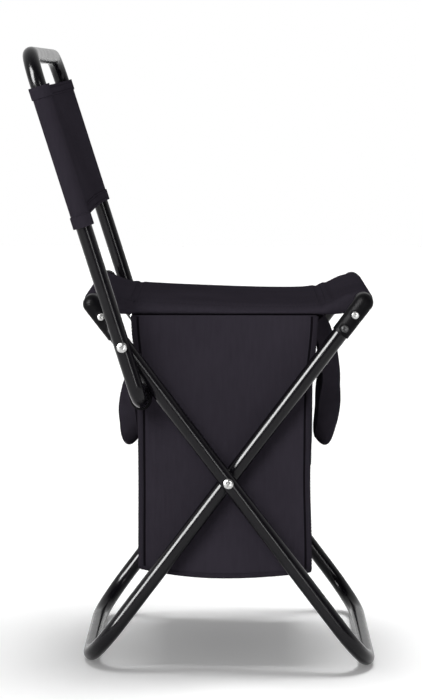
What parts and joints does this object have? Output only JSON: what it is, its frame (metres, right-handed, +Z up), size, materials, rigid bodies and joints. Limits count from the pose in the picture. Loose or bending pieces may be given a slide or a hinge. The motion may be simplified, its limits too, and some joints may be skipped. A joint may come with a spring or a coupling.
{
  "type": "folding cooler chair",
  "caption": "Low folding chair with crossed tube legs, a tilting sling backrest and an insulated carry bag hung under a padded fabric seat.",
  "frame": {"origin": "On the floor under the middle of the overall box, chair open.", "axes": "+X to the front of the chair, +Y to the sitter's left, +Z up."},
  "size_m": [0.3516, 0.365, 0.6266],
  "materials": {
    "tube_paint": "glossy black paint on round steel tube",
    "fitting_plastic": "fine-textured black plastic",
    "fastener_steel": "bright zinc-plated steel",
    "seat_fabric": "close-woven charcoal polyester",
    "webbing": "flat woven charcoal webbing",
    "foam": "white closed-cell foam sheet",
    "liner_film": "silvery welded film",
    "base_board": "dull grey-brown stiff sheet"
  },
  "bodies": {
    "outer_frame": {"outer_leg_frame": "tube_paint", "rear_seat_bar": "tube_paint", "rear_seat_sleeve": "seat_fabric", "rear_elbow_left": "fitting_plastic", "rear_elbow_right": "fitting_plastic", "rear_rivet_upper_left": "fastener_steel", "rear_rivet_upper_right": "fastener_steel", "rear_rivet_lower_left": "fastener_steel", "rear_rivet_lower_right": "fastener_steel", "cross_bolt_left": "fastener_steel", "cross_bolt_right": "fastener_steel", "cross_nut_left": "fastener_steel", "cross_nut_right": "fastener_steel", "cross_spacer_left": "fitting_plastic", "cross_spacer_right": "fitting_plastic", "backrest_bolt_left": "fastener_steel", "backrest_bolt_right": "fastener_steel", "backrest_nut_left": "fastener_steel", "backrest_nut_right": "fastener_steel", "backrest_spacer_left": "fitting_plastic", "backrest_spacer_right": "fitting_plastic"},
    "cooler": {"seat_pad": "seat_fabric", "bag_shell": "seat_fabric", "bag_insulation": "foam", "bag_liner": "liner_film", "bag_base_board": "base_board", "zip_tape": "webbing"},
    "inner_frame": {"inner_leg_frame": "tube_paint", "front_seat_bar": "tube_paint", "front_seat_sleeve": "seat_fabric", "front_elbow_left": "fitting_plastic", "front_elbow_right": "fitting_plastic", "front_rivet_upper_left": "fastener_steel", "front_rivet_upper_right": "fastener_steel", "front_rivet_lower_left": "fastener_steel", "front_rivet_lower_right": "fastener_steel"},
    "backrest": {"backrest_frame": "tube_paint", "back_panel": "seat_fabric", "stop_cap_left": "fitting_plastic", "stop_cap_right": "fitting_plastic"},
    "flap": {"front_flap": "seat_fabric", "flap_insulation": "foam"},
    "front_handle": {"front_handle": "webbing"},
    "rear_handle": {"rear_handle": "webbing"},
    "zip_slider": {"zip_slider": "fastener_steel"},
    "zip_pull": {"zip_pull": "fastener_steel"}
  },
  "joints": [
    {"name": "leg_fold", "type": "hinge", "parent": "outer_frame", "child": "inner_frame", "pos_m": [0.0263, 0, 0.19564], "axis": [0, -1, 0], "range_deg": [0, 61]},
    {"name": "cooler_follow", "type": "hinge", "parent": "outer_frame", "child": "cooler", "pos_m": [0.0263, 0, 0.19564], "axis": [0, -1, 0], "range_deg": [0, 30.5]},
    {"name": "backrest_fold", "type": "hinge", "parent": "outer_frame", "child": "backrest", "pos_m": [-0.07791, 0, 0.33384], "axis": [0, 1, 0], "range_deg": [0, 50]},
    {"name": "flap_open", "type": "hinge", "parent": "cooler", "child": "flap", "pos_m": [0.11043, 0, 0.2045], "axis": [0, 1, 0], "range_deg": [0, 90]},
    {"name": "front_handle_swing", "type": "hinge", "parent": "flap", "child": "front_handle", "pos_m": [0.11432, 0, 0.34419], "axis": [0, -1, 0], "range_deg": [0, 75]},
    {"name": "rear_handle_swing", "type": "hinge", "parent": "cooler", "child": "rear_handle", "pos_m": [-0.06692, 0, 0.3442], "axis": [0, 1, 0], "range_deg": [0, 75]},
    {"name": "zip_slide", "type": "slide", "parent": "cooler", "child": "zip_slider", "axis": [0.0056, 0, 1], "range_m": [0, 0.115]},
    {"name": "zip_pull_swing", "type": "hinge", "parent": "zip_slider", "child": "zip_pull", "pos_m": [0.11578, 0.0938, 0.21247], "axis": [0, -1, 0], "range_deg": [0, 60]}
  ],
  "couplings": [
    {"joint": "cooler_follow", "follows": "leg_fold", "ratio": 0.5}
  ]
}
